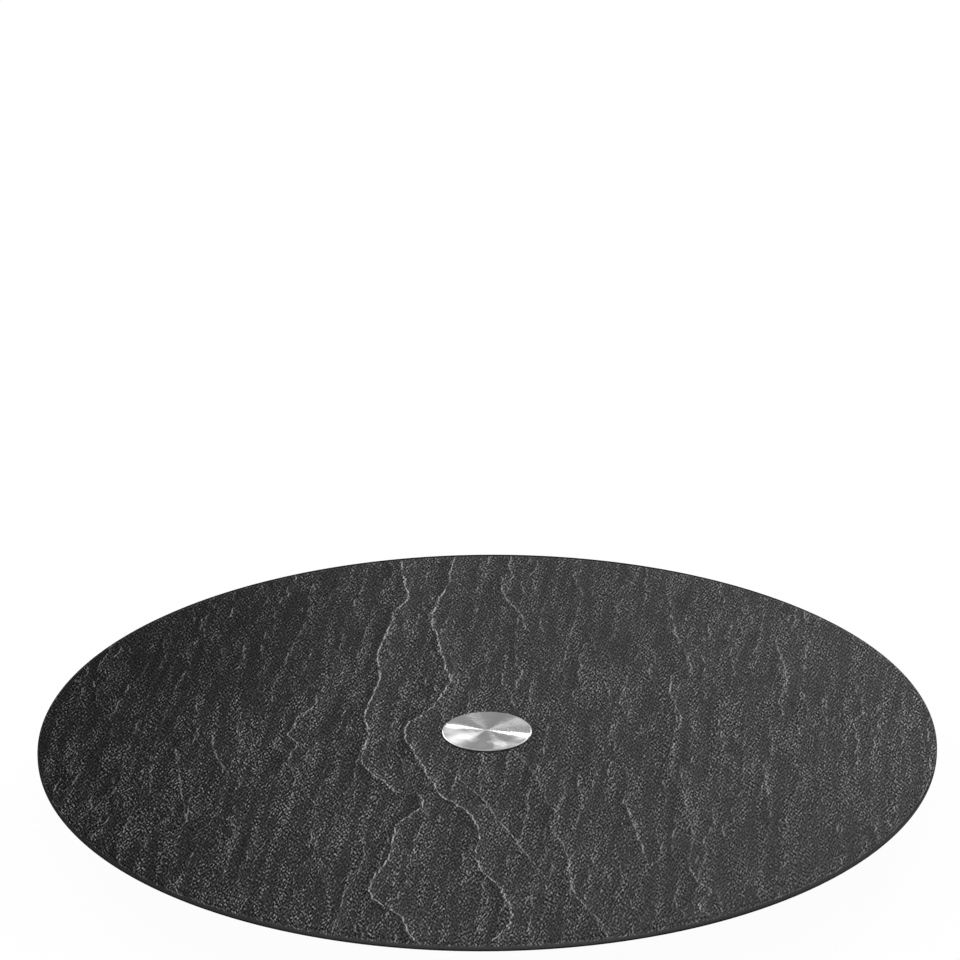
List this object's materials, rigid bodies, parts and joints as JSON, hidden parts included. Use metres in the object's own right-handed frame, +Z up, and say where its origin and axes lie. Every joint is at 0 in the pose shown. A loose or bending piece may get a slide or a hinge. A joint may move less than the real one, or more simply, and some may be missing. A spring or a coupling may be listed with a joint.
{
  "type": "lazy susan",
  "caption": "Round slate-look glass plate with a brushed steel cap at its middle, which spins on a low domed metal base over a caged ball bearing and stands on rubber feet.",
  "frame": {"origin": "on the table, under the middle of the plate", "axes": "+Z up along the spin axis, towards the cap; -Y towards the viewer of the picture"},
  "size_m": [0.325, 0.325, 0.0272],
  "materials": {
    "slate_glass": "tempered glass, slate picture printed on its back, polished rounded rim",
    "brushed_cap": "stainless steel, brushed in circles",
    "clear_silicone": "translucent silicone",
    "fastener_steel": "bright zinc-plated steel",
    "bearing_steel": "polished hardened steel",
    "white_nylon": "natural nylon",
    "satin_aluminium": "die-cast, turned in circles on its outside, satin",
    "black_rubber": "matt black rubber"
  },
  "bodies": {
    "base": {"base_plate": "satin_aluminium", "pivot_bush": "white_nylon", "lower_race": "bearing_steel", "rubber_foot_1": "black_rubber", "rubber_foot_2": "black_rubber", "rubber_foot_3": "black_rubber", "rubber_foot_4": "black_rubber", "rubber_foot_5": "black_rubber", "foot_screw_1": "fastener_steel", "foot_screw_2": "fastener_steel", "foot_screw_3": "fastener_steel", "foot_screw_4": "fastener_steel", "foot_screw_5": "fastener_steel"},
    "turntable": {"glass_plate": "slate_glass", "cap_disc": "brushed_cap", "cap_gasket": "clear_silicone", "cap_stud": "fastener_steel", "hole_sleeve": "white_nylon", "plate_pad": "black_rubber", "rotor_plate": "satin_aluminium", "retaining_washer": "fastener_steel", "hub_nut": "fastener_steel", "upper_race": "bearing_steel"},
    "ball_ring": {"ball_cage": "white_nylon", "ball_01": "bearing_steel", "ball_02": "bearing_steel", "ball_03": "bearing_steel", "ball_04": "bearing_steel", "ball_05": "bearing_steel", "ball_06": "bearing_steel", "ball_07": "bearing_steel", "ball_08": "bearing_steel", "ball_09": "bearing_steel", "ball_10": "bearing_steel", "ball_11": "bearing_steel", "ball_12": "bearing_steel", "ball_13": "bearing_steel", "ball_14": "bearing_steel", "ball_15": "bearing_steel", "ball_16": "bearing_steel", "ball_17": "bearing_steel", "ball_18": "bearing_steel", "ball_19": "bearing_steel", "ball_20": "bearing_steel"}
  },
  "joints": [
    {"name": "turntable_spin", "type": "hinge", "parent": "base", "child": "turntable", "pos_m": [0, 0, 0.0143], "axis": [0, 0, 1], "continuous": true},
    {"name": "ball_ring_roll", "type": "hinge", "parent": "base", "child": "ball_ring", "pos_m": [0, 0, 0.0143], "axis": [0, 0, 1], "continuous": true}
  ],
  "couplings": [
    {"joint": "ball_ring_roll", "follows": "turntable_spin", "ratio": 0.5}
  ]
}
